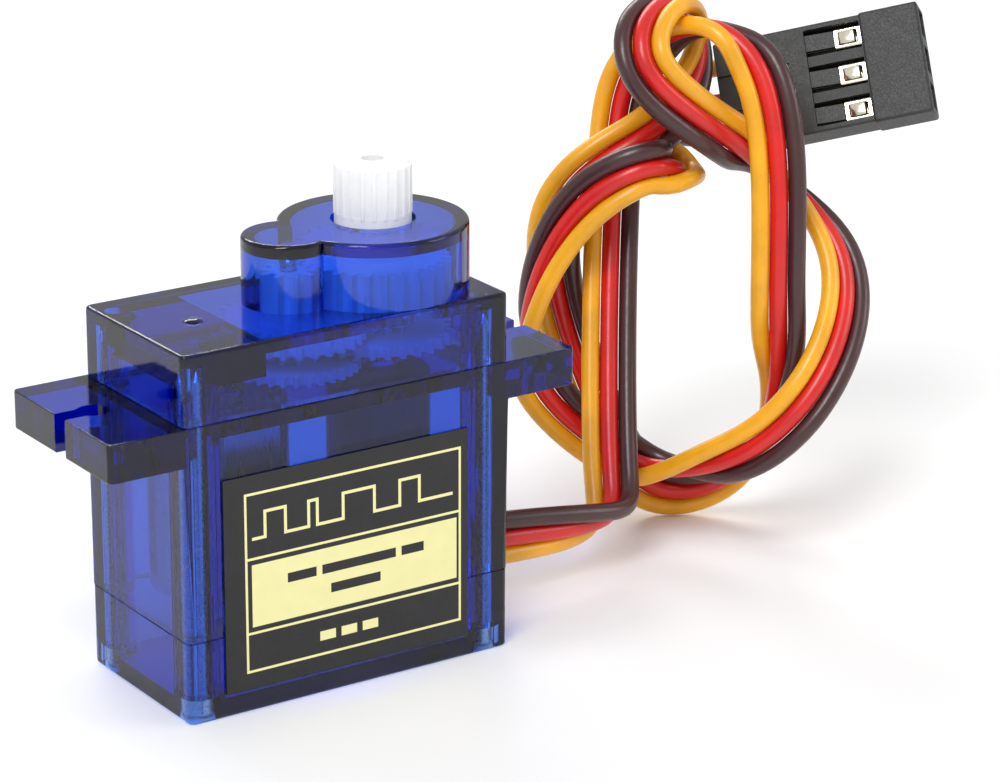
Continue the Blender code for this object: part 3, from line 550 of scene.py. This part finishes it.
def make_materials():
    mats = {"blue": case_material(), "nylon": nylon_material(), "board": board_material()}
    mats["steel"] = surface("steel", (0.60, 0.60, 0.62), 0.30, 1.0, 0.06, 2.0, 0.25, 0.01, (1, 1, 0.1))
    mats["zinc"] = surface("zinc_plated_screw", (0.62, 0.63, 0.66), 0.26, 1.0, 0.1, 0.8, 0.2, 0.01)
    mats["brass"] = surface("brass", (0.74, 0.52, 0.20), 0.28, 1.0, 0.1, 0.8, 0.2, 0.01)
    mats["magnet"] = surface("ferrite", (0.06, 0.06, 0.065), 0.6, 0.0, 0.2, 0.5, 0.1, 0.02)
    mats["white"] = surface("white_plastic", (0.78, 0.78, 0.74), 0.45)
    mats["shell"] = surface("dark_shell", (0.03, 0.07, 0.10), 0.4)
    mats["chip"] = surface("moulded_package", (0.018, 0.018, 0.02), 0.5, 0.0, 0.2, 0.4, 0.08, 0.01)
    mats["ceramic"] = surface("ceramic", (0.52, 0.36, 0.20), 0.5, 0.0, 0.15, 0.4, 0.08, 0.01)
    mats["tinned"] = surface("tinned_copper", (0.78, 0.76, 0.72), 0.25, 1.0, 0.08, 0.4, 0.1, 0.01)
    mats["rubber"] = surface("rubber", (0.02, 0.02, 0.021), 0.6, 0.0, 0.2, 0.6, 0.1, 0.02)
    plastic = (0.022, 0.024, 0.023)
    mats["connector"] = surface("connector_plastic", plastic, 0.5, 0.0, 0.22, 0.7, 0.09, 0.02)
    mats["contact"] = surface("contact_metal", (0.93, 0.86, 0.70), 0.14, 1.0, 0.08, 0.5, 0.2, 0.008)
    mats["black_print"] = surface("label_black", (0.008, 0.008, 0.009), 0.33, 0.0, 0.25, 1.5, 0.12, 0.004)
    mats["cream_print"] = surface("label_cream", (0.84, 0.80, 0.38), 0.40, 0.0, 0.02, 1.2, 0.12, 0.004)
    mats["yellow"] = wire_material("yellow_insulation", (0.86, 0.40, 0.004))
    mats["red"] = wire_material("red_insulation", (0.66, 0.008, 0.006))
    mats["brown"] = wire_material("brown_insulation", (0.055, 0.016, 0.016))
    return mats


def repaint(node, mat):
    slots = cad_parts[node].data.materials
    slots.clear()
    slots.append(mat)


# ---------------------------------------------------------------- lead


def natural_spline(values, knots, at):
    """Values of the natural cubic spline through (knots, values)."""
    count = len(knots)
    gaps = np.diff(knots)
    system = np.eye(count)
    right = np.zeros(values.shape)
    for i in range(1, count - 1):
        system[i, i - 1 : i + 2] = gaps[i - 1], 2 * (gaps[i - 1] + gaps[i]), gaps[i]
        slopes = (values[i + 1] - values[i]) / gaps[i] - (values[i] - values[i - 1]) / gaps[i - 1]
        right[i] = 6 * slopes
    bends = np.linalg.solve(system, right)
    spans = np.clip(np.searchsorted(knots, at, side="right") - 1, 0, count - 2)
    gap = gaps[spans][:, None]
    left = (knots[spans + 1] - at)[:, None] / gap
    rest = 1 - left
    curve = left * values[spans] + rest * values[spans + 1]
    return curve + ((left**3 - left) * bends[spans] + (rest**3 - rest) * bends[spans + 1]) * gap**2 / 6


def wire_paths(count):
    """The three wires' centre lines, yellow, red and brown, with count points each, in millimetres."""
    middle = np.array([point for point, _ in LEAD_ROUTE])
    across = np.array([side for _, side in LEAD_ROUTE])
    across /= np.linalg.norm(across, axis=1)[:, None]
    spread = np.ones(len(middle))
    spread[-len(LEAD_SPREAD) :] = LEAD_SPREAD
    steps = np.sqrt(np.linalg.norm(np.diff(middle, axis=0), axis=1))
    knots = np.concatenate([[0.0], np.cumsum(steps)])
    at = np.linspace(0, knots[-1], count)
    centre = natural_spline(middle, knots, at)
    side = natural_spline(across, knots, at)
    along = natural_spline(middle, knots, at + 1e-4) - natural_spline(middle, knots, at - 1e-4)
    along /= np.linalg.norm(along, axis=1)[:, None]
    side -= (side * along).sum(axis=1)[:, None] * along
    side /= np.linalg.norm(side, axis=1)[:, None]
    reach = np.interp(at, knots, spread)[:, None] * WIRE_PITCH
    return [centre + side * reach * row for row in (1, 0, -1)]


def make_tube(name, points, diameter, mat):
    curve = bpy.data.curves.new(name, "CURVE")
    curve.dimensions = "3D"
    curve.bevel_depth = diameter / 2 * MM
    curve.bevel_resolution = 6
    curve.use_fill_caps = True
    spline = curve.splines.new("POLY")
    spline.points.add(len(points) - 1)
    for target, point in zip(spline.points, points):
        target.co = (*(Vector(point) * MM), 1.0)
    curve.materials.append(mat)
    obj = bpy.data.objects.new(name, curve)
    bpy.context.scene.collection.objects.link(obj)
    return obj


def make_lead(mats):
    for row, (color, path) in enumerate(zip(LEAD_LENGTHS, wire_paths(WIRE_POINTS))):
        wire = make_tube("lead_" + color, path, WIRE_DIAMETER, mats[color])
        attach(wire, "case")
        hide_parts("wire_" + color)


# ---------------------------------------------------------------- connector


def connector_matrix():
    along = Vector(CONNECTOR_AXIS).normalized()
    down = Vector(CONNECTOR_DOWN)
    down = (down - along * down.dot(along)).normalized()
    turn = Matrix((along, down, along.cross(down))).transposed().to_4x4()
    return Matrix.Translation(Vector(CONNECTOR_REAR) * MM) @ turn


def make_housing(mats, place, rows):
    half_width = CONNECTOR_WIDTH / 2
    half_thick = CONNECTOR_THICKNESS / 2
    bm = bmesh.new()
    low = (0, -half_width + 0.1, -half_thick + 0.08)
    add_box(bm, low, (WINDOW_TO + 1, half_width - 0.1, half_thick - 0.05))
    round_edges(bm, 0.16, sharp)
    housing = finish_object("connector_shell", bm, [mats["connector"]])
    front = bmesh.new()
    add_box(front, (WINDOW_TO, -half_width, -half_thick), (CONNECTOR_LENGTH, half_width, half_thick))
    round_edges(front, 0.2, sharp)
    recess = tool((add_box, (WINDOW_FROM, -3.35, -2.0), (WINDOW_TO, 3.35, -half_thick + 0.5)))
    steps = [("UNION", front), ("DIFFERENCE", recess)]
    for y in rows:
        mouth = bmesh.new()
        add_box(mouth, (-1, y - 0.92, -0.8), (CONNECTOR_LENGTH + 1, y + 0.92, 0.8))
        window = bmesh.new()
        add_box(window, (WINDOW_FROM + 0.15, y - 0.84, -2.0), (WINDOW_TO - 0.02, y + 0.84, -0.2))
        steps += [("DIFFERENCE", mouth), ("DIFFERENCE", window)]
    for y in (-CONTACT_PITCH / 2, CONTACT_PITCH / 2):
        high = (WINDOW_FROM - 1.2, y + 0.12, -half_thick + 0.22)
        steps.append(("DIFFERENCE", tool((add_box, (-1, y - 0.12, -2.0), high))))
    for y in rows:
        tongue = bmesh.new()
        profile = [(WINDOW_FROM - 0.3, -0.95), (WINDOW_FROM + 1.9, -0.72), (WINDOW_FROM + 1.9, -0.5)]
        profile += [(WINDOW_FROM - 0.3, -0.55)]
        add_prism(tongue, profile, y - 0.55, y + 0.55, "Y")
        steps.append(("UNION", tongue))
    combine(housing, steps)
    smooth(housing, 30, True)
    housing.matrix_world = place
    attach(housing, "case")
    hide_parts("connector_housing")
    return housing


def make_contacts(mats, place, rows):
    """Each contact is a square box with a flap in its window and a barrel that grips the wire."""

    def lengthwise(edge):
        return sharp(edge) and abs((edge.verts[0].co - edge.verts[1].co).x) > 1

    contacts = []
    for number, y in enumerate(rows, 1):
        bm = bmesh.new()
        add_box(bm, (8.15, y - 0.74, -0.64), (12.9, y + 0.74, 0.64))
        round_edges(bm, 0.18, lengthwise)
        contact = finish_object("contact_%d" % number, bm, [mats["contact"]])
        flap = bmesh.new()
        profile = [(8.35, -0.6), (8.5, -0.86), (9.5, -0.92), (9.75, -0.62), (9.75, -0.4), (8.35, -0.4)]
        add_prism(flap, profile, y - 0.42, y + 0.5, "Y")
        round_edges(flap, 0.06, sharp, 2)
        barrel = bmesh.new()
        profile = [(1.6, -0.52), (4.9, -0.55), (5.4, -0.3), (8.4, -0.2), (8.4, 0.5), (1.6, 0.52)]
        add_prism(barrel, profile, y - 0.55, y + 0.55, "Y")
        round_edges(barrel, 0.2, sharp, 3)
        socket = tool((add_box, (10.6, y - 0.4, -0.4), (13.5, y + 0.4, 0.4)))
        slit = tool((add_box, (10.0, y - 0.05, -1.2), (13.5, y + 0.05, 0.0)))
        steps = [("UNION", flap), ("UNION", barrel), ("DIFFERENCE", socket), ("DIFFERENCE", slit)]
        combine(contact, steps)
        smooth(contact, 30, True)
        contact.matrix_world = place
        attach(contact, "case")
        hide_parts("connector_contact_%d" % number)
        contacts.append(contact)
    return contacts


def make_connector(mats):
    """Made in the connector's own axes: X along it, Y across its rows, -Z its window side."""
    place = connector_matrix()
    rows = (-CONTACT_PITCH, 0.0, CONTACT_PITCH)
    housing = make_housing(mats, place, rows)
    return housing, make_contacts(mats, place, rows)


# ---------------------------------------------------------------- case


def half_case():
    return CASE_LENGTH / 2, CASE_WIDTH / 2


def lead_slot():
    return tool((add_box, (9.7, -1.0, LEAD_HEIGHT - 2.2), (12.5, 1.0, LEAD_HEIGHT + 2.2)))


def make_bottom(mats):
    half_x, half_y = half_case()
    top = BOTTOM_HEIGHT - SEAM
    bm = bmesh.new()
    add_box(bm, (-half_x, -half_y, 0), (half_x, half_y, top))
    round_edges(bm, 0.45, upright, 4)
    round_edges(bm, 0.22, level_at(0.0), 3)
    round_edges(bm, 0.06, level_at(top), 2)
    bottom = finish_object("case_bottom", bm, [mats["blue"]])
    steps = [("DIFFERENCE", tool((add_prism, cavity_outline(), WALL, top + 1)))]
    holes = bmesh.new()
    for corner in corners():
        profile = [(0, -0.5), (1.12, -0.5), (1.12, 1.4), (0.6, 1.4), (0.6, top + 1), (0, top + 1)]
        add_turned(holes, profile, 32, corner)
    steps += [("DIFFERENCE", holes), ("DIFFERENCE", lead_slot())]
    combine(bottom, steps)
    smooth(bottom, 30, True)
    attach(bottom, "case")
    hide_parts("bottom_cover")


def make_middle(mats):
    half_x, half_y = half_case()
    ear_x = EAR_SPAN / 2
    ear_low = EAR_TOP - EAR_THICKNESS

    def at_ear(edge):
        return sharp(edge) and max(vert.co.z for vert in edge.verts) > ear_low - 0.01

    bm = bmesh.new()
    side = [(-half_x, BOTTOM_HEIGHT), (half_x, BOTTOM_HEIGHT), (half_x, ear_low), (ear_x, ear_low)]
    side += [(ear_x, EAR_TOP), (-ear_x, EAR_TOP), (-ear_x, ear_low), (-half_x, ear_low)]
    add_prism(bm, side, -half_y, half_y, "Y")
    round_edges(bm, 0.35, upright, 4)
    round_edges(bm, 0.2, at_ear, 3)
    middle = finish_object("case_middle", bm, [mats["blue"]])
    deck_low = EAR_TOP - DECK_THICKNESS - 1
    high = EAR_TOP + 1
    holes = bmesh.new()
    add_cylinder(holes, 1.35, deck_low, high, 48, (MOTOR_X, 0))
    add_cylinder(holes, 0.55, deck_low, high, 32, (IDLER_X, 0))
    add_cylinder(holes, 1.5, deck_low, high, 48, (OUTPUT_X, 0))
    for corner in corners():
        add_cylinder(holes, SCREW_RADIUS + 0.1, BOTTOM_HEIGHT - 1, high, 24, corner)
    slots = bmesh.new()
    half_slot = EAR_SLOT_WIDTH / 2
    turn = math.asin(half_slot / EAR_HOLE_RADIUS)
    for sign in (-1, 1):
        outline = []
        for step in range(37):
            angle = turn + (2 * math.pi - 2 * turn) * step / 36
            x = EAR_HOLE_X + EAR_HOLE_RADIUS * math.cos(angle)
            outline.append((sign * x, EAR_HOLE_RADIUS * math.sin(angle)))
        outline += [(sign * (ear_x + 1), -half_slot), (sign * (ear_x + 1), half_slot)]
        add_prism(slots, outline, ear_low - 1, high)
    cavity = tool((add_prism, cavity_outline(), BOTTOM_HEIGHT - 1, EAR_TOP - DECK_THICKNESS))
    steps = [("DIFFERENCE", cavity)]
    steps += [("DIFFERENCE", holes), ("DIFFERENCE", slots), ("DIFFERENCE", lead_slot())]
    combine(middle, steps)
    smooth(middle, 30, True)
    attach(middle, "case")
    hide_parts("middle_case")


def make_top(mats):
    half_x, half_y = half_case()
    low = EAR_TOP + SEAM
    ceiling = CASE_HEIGHT - COVER_THICKNESS
    bm = bmesh.new()
    add_box(bm, (-half_x, -half_y, low), (half_x, half_y, CASE_HEIGHT))
    round_edges(bm, 0.45, upright, 4)
    round_edges(bm, 0.22, level_at(CASE_HEIGHT), 3)
    top = finish_object("case_top", bm, [mats["blue"]])
    boss = tool((add_prism, boss_outline(), CASE_HEIGHT - 0.5, BOSS_TOP))
    round_edges(boss, 0.25, level_at(BOSS_TOP), 3)
    pip = bmesh.new()
    rise = [(0, -0.2), (0.62, -0.2), (0.6, 0.03), (0.5, 0.1), (0.3, 0.16), (0, 0.18)]
    profile = [(radius, CASE_HEIGHT + above) for radius, above in rise]
    add_turned(pip, profile, 32, (-7.4, -0.4))
    gear_room = bmesh.new()
    inner_x = half_x - WALL
    inner_y = half_y - WALL
    clear_x = SCREW_X - COLUMN_RADIUS
    plan = [(-5.4, -inner_y), (clear_x, -inner_y), (clear_x, -3.3), (inner_x, -3.3)]
    plan += [(inner_x, 3.3), (clear_x, 3.3), (clear_x, inner_y), (-5.4, inner_y)]
    add_prism(gear_room, plan, EAR_TOP, ceiling)
    holes = bmesh.new()
    for corner in corners():
        add_cylinder(holes, SCREW_RADIUS + 0.1, EAR_TOP - 1, 22.0, 24, corner)
    cavity = tool((add_prism, cavity_outline(), EAR_TOP - 1, 20.6))
    boss_low = ceiling - 0.5
    boss_high = BOSS_TOP - COVER_THICKNESS
    boss_room = tool((add_prism, boss_outline(BOSS_WALL), boss_low, boss_high))
    opening = bmesh.new()
    add_cylinder(opening, SPLINE_RADIUS + 0.2, BOSS_TOP - 2, BOSS_TOP + 1, 64, (OUTPUT_X, 0))
    steps = [("UNION", boss), ("UNION", pip)]
    steps += [("DIFFERENCE", cut) for cut in (cavity, gear_room, boss_room, opening, holes)]
    combine(top, steps)
    smooth(top, 30, True)
    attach(top, "case")
    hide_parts("top_cover")


def make_output(mats):
    """The output shaft with its fine spline and the last gear below it."""
    root = SPLINE_ROOT
    tip = SPLINE_RADIUS
    bm = bmesh.new()
    outline = []
    for tooth in range(SPLINE_TEETH):
        for share, radius in ((-0.5, root), (-0.22, root), (-0.12, tip), (0.12, tip), (0.22, root)):
            angle = 2 * math.pi * (tooth + share) / SPLINE_TEETH
            outline.append((OUTPUT_X + radius * math.cos(angle), radius * math.sin(angle)))
    add_prism(bm, outline, 27.6, SPLINE_TOP - 0.35)
    shaft = finish_object("output_shaft", bm, [mats["nylon"]])
    core = bmesh.new()
    profile = [(0, 18.8), (1.05, 18.8), (1.05, 22.5), (2.35, 22.5), (2.35, 27.75), (2.3, 27.8)]
    profile += [(2.3, 30.6), (2.2, 30.8), (2.05, 30.94), (1.85, SPLINE_TOP)]
    profile += [(1.0, SPLINE_TOP), (0.85, 30.92), (0, 30.92)]
    add_turned(core, profile, 84, (OUTPUT_X, 0))
    gear = bmesh.new()
    outline = []
    # one flank of a tooth: height over the pitch circle in modules, and half width in quarter pitches
    flank = [(-1.2, 1.11), (-0.9, 0.98), (0.0, 0.85), (0.6, 0.62), (0.85, 0.42)]
    flank += [(rise, -share) for rise, share in reversed(flank)]
    for tooth in range(GEAR_TEETH):
        middle = math.pi + math.pi / GEAR_TEETH + 2 * math.pi * tooth / GEAR_TEETH
        for rise, share in reversed(flank):
            angle = middle + share * math.pi / 2 / GEAR_TEETH
            radius = (GEAR_TEETH / 2 + rise) * GEAR_MODULE
            outline.append((OUTPUT_X + radius * math.cos(angle), radius * math.sin(angle)))
    add_prism(gear, outline, 22.3, 25.0)
    hole = tool((add_cylinder, 0.7, SPLINE_TOP - 4, SPLINE_TOP + 1, 32, (OUTPUT_X, 0)))
    socket = tool((add_cylinder, 0.75, 18, 21.9, 32, (OUTPUT_X, 0)))
    steps = [("UNION", core), ("UNION", gear), ("DIFFERENCE", hole), ("DIFFERENCE", socket)]
    combine(shaft, steps)
    smooth(shaft, 40, True)
    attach(shaft, "output")
    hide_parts("output_gear")


def label_print():
    """Rectangles as (left, right, base, head, material); a later one lies over an earlier one."""
    left, right = PRINT_X
    base, head = PRINT_Z
    half = PRINT_LINE / 2
    prints = [(x, x + PRINT_LINE, base, head, CREAM) for x in (left, right - PRINT_LINE)]
    for z in (base, head - PRINT_LINE, 9.75 - half, 5.05 - half):
        prints.append((left, right, z, z + PRINT_LINE, CREAM))
    prints.append((-7.05, 7.38, 5.43, 9.37, CREAM))
    for x, wide in ((-4.6, 2.0), (-2.2, 5.2), (3.4, 1.6)):
        prints.append((x, x + wide, 7.75, 8.35, BLACK))
    prints.append((-1.6, 1.9, 6.45, 7.05, BLACK))
    low = 10.9
    high = 12.7
    last = -7.0
    for x, wide in ((-6.2, 1.6), (-3.2, 0.8), (-0.8, 2.4), (3.2, 1.6)):
        prints.append((last, x + PULSE_LINE, low, 11.1, CREAM))
        prints.append((x, x + PULSE_LINE, low, high, CREAM))
        prints.append((x, x + wide, 12.5, high, CREAM))
        prints.append((x + wide - PULSE_LINE, x + wide, low, high, CREAM))
        last = x + wide - PULSE_LINE
    prints.append((last, 7.1, low, 11.1, CREAM))
    for x in (-2.4, -0.9, 0.6):
        prints.append((x, x + 1.1, 3.5, 4.1, CREAM))
    return prints


def make_label(mats):
    """A thin film with a black field and a cream frame, panel, pulse line and plain bars."""
    prints = label_print()
    xs = sorted({*LABEL_X, *[p[0] for p in prints], *[p[1] for p in prints]})
    zs = sorted({*LABEL_Z, *[p[2] for p in prints], *[p[3] for p in prints]})
    front = -CASE_WIDTH / 2 - LABEL_LIFT
    back = front + LABEL_FILM
    bm = bmesh.new()
    grid = {}
    for y in (front, back):
        for x in xs:
            for z in zs:
                if y == front or x in LABEL_X or z in LABEL_Z:
                    grid[x, y, z] = bm.verts.new((x, y, z))
    for x0, x1 in zip(xs, xs[1:]):
        for z0, z1 in zip(zs, zs[1:]):
            ring = [(x0, z0), (x1, z0), (x1, z1), (x0, z1)]
            face = bm.faces.new([grid[x, front, z] for x, z in ring])
            mid_x = (x0 + x1) / 2
            mid_z = (z0 + z1) / 2
            for left, right, base, head, index in prints:
                if left < mid_x < right and base < mid_z < head:
                    face.material_index = index
    for z in LABEL_Z:
        for x0, x1 in zip(xs, xs[1:]):
            ring = [(x0, front), (x1, front), (x1, back), (x0, back)]
            bm.faces.new([grid[x, y, z] for x, y in ring])
    for x in LABEL_X:
        for z0, z1 in zip(zs, zs[1:]):
            ring = [(front, z0), (front, z1), (back, z1), (back, z0)]
            bm.faces.new([grid[x, y, z] for y, z in ring])
    rim = [(x, LABEL_Z[0]) for x in xs] + [(LABEL_X[1], z) for z in zs[1:]]
    rim += [(x, LABEL_Z[1]) for x in reversed(xs[:-1])]
    rim += [(LABEL_X[0], z) for z in reversed(zs[1:-1])]
    bm.faces.new([grid[x, back, z] for x, z in rim])
    label = finish_object("label_film", bm, [mats["black_print"], mats["cream_print"]], 20)
    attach(label, "case")
    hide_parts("label")


# ---------------------------------------------------------------- stage


def add_area(name, place, target, size, power):
    data = bpy.data.lights.new(name, "AREA")
    data.shape = "RECTANGLE"
    data.size, data.size_y = size
    data.energy = power
    light = bpy.data.objects.new(name, data)
    bpy.context.scene.collection.objects.link(light)
    light.location = place
    light.rotation_euler = (Vector(target) - Vector(place)).to_track_quat("-Z", "Y").to_euler()


def make_stage():
    mat, tree, shader = new_material("floor")
    clouds = add_noise(tree, 30, 3.0)
    socket = add_ramp(tree, clouds, [(0.3, (0.90, 0.90, 0.90)), (0.7, (0.94, 0.94, 0.94))])
    tree.links.new(socket, shader.inputs["Base Color"])
    shader.inputs["Roughness"].default_value = 0.7
    bm = bmesh.new()
    low = (-FLOOR_REACH, -FLOOR_REACH, FLOOR_BASE)
    add_box(bm, low, (FLOOR_REACH, FLOOR_REACH, FLOOR_TOP))
    floor = finish_object("floor", bm, [mat])

    scene = bpy.context.scene
    world = bpy.data.worlds.new("studio")
    scene.world = world
    world.use_nodes = True
    background = world.node_tree.nodes["Background"]
    background.inputs["Color"].default_value = (1.0, 1.0, 1.0, 1.0)
    background.inputs["Strength"].default_value = 0.62
    centre = (0.01, 0.0, 0.015)
    add_area("key", (-0.22, -0.18, 0.34), centre, (0.16, 0.22), 1.1)
    add_area("fill", (0.34, -0.24, 0.20), centre, (0.20, 0.20), 0.35)
    add_area("rim", (0.10, 0.36, 0.28), centre, (0.30, 0.12), 0.7)
    scene.view_settings.view_transform = "Standard"


# ---------------------------------------------------------------- all together


def main():
    make_camera()
    mats = make_materials()
    housing, contacts = make_connector(mats)
    make_lead(mats)
    make_bottom(mats)
    make_middle(mats)
    make_top(mats)
    make_output(mats)
    make_label(mats)
    for kind, nodes in PAINT.items():
        for node in nodes:
            repaint(node, mats[kind])
    make_stage()


main()
